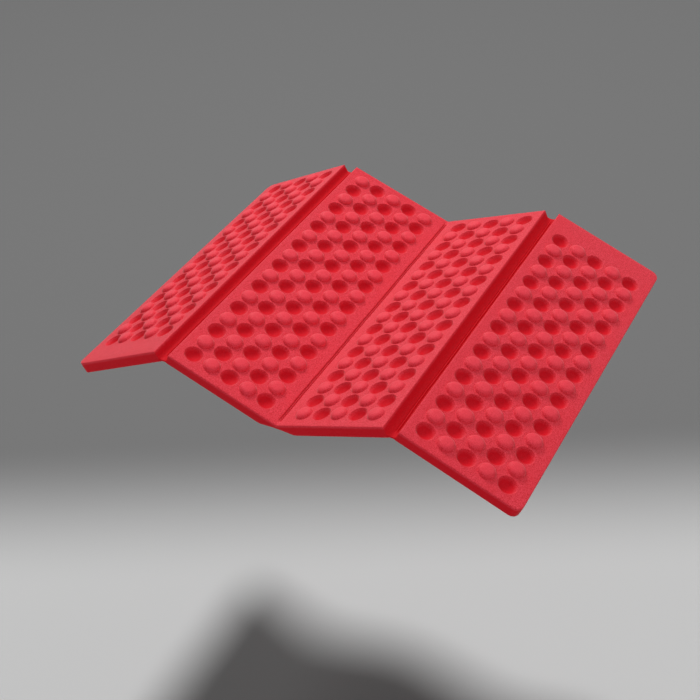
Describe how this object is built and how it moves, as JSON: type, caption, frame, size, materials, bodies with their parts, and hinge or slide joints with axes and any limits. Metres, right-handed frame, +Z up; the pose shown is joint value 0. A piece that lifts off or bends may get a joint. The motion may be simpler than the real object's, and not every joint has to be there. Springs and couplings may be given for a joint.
{
  "type": "folding foam mat",
  "caption": "Folding closed-cell foam sit mat in a zigzag, its panels moulded with bumps and dimples and joined by living hinges.",
  "frame": {"origin": "middle of the mat's footprint, on the floor it stands on in its half-open zigzag", "axes": "+X across the folds, +Y along the folds, +Z up"},
  "size_m": [0.363, 0.275, 0.0481],
  "materials": {
    "moulded_foam": "matte closed-cell foam, fine mottled grain",
    "pressed_foam": "matte closed-cell foam, pressed thin and denser"
  },
  "bodies": {
    "left_inner": {"left_inner_panel": "moulded_foam", "valley_web": "pressed_foam"},
    "left_outer": {"left_outer_panel": "moulded_foam", "left_ridge_web": "pressed_foam"},
    "right_inner": {"right_inner_panel": "moulded_foam"},
    "right_outer": {"right_outer_panel": "moulded_foam", "right_ridge_web": "pressed_foam"}
  },
  "joints": [
    {"name": "left_ridge_fold", "type": "hinge", "parent": "left_inner", "child": "left_outer", "pos_m": [-0.0925, 0, 0.04069], "axis": [0, -1, 0], "range_deg": [-47.8, 132.2], "stiffness_Nm_per_rad": 0.03, "deforming": ["left_ridge_web"]},
    {"name": "valley_fold", "type": "hinge", "parent": "left_inner", "child": "right_inner", "pos_m": [-0.00092, 0, 0.01368], "axis": [0, -1, 0], "range_deg": [-42.5, 135.5], "stiffness_Nm_per_rad": 0.03, "deforming": ["valley_web"]},
    {"name": "right_ridge_fold", "type": "hinge", "parent": "right_inner", "child": "right_outer", "pos_m": [0.09145, 0, 0.03782], "axis": [0, 1, 0], "range_deg": [-44.1, 135.9], "stiffness_Nm_per_rad": 0.03, "deforming": ["right_ridge_web"]}
  ]
}
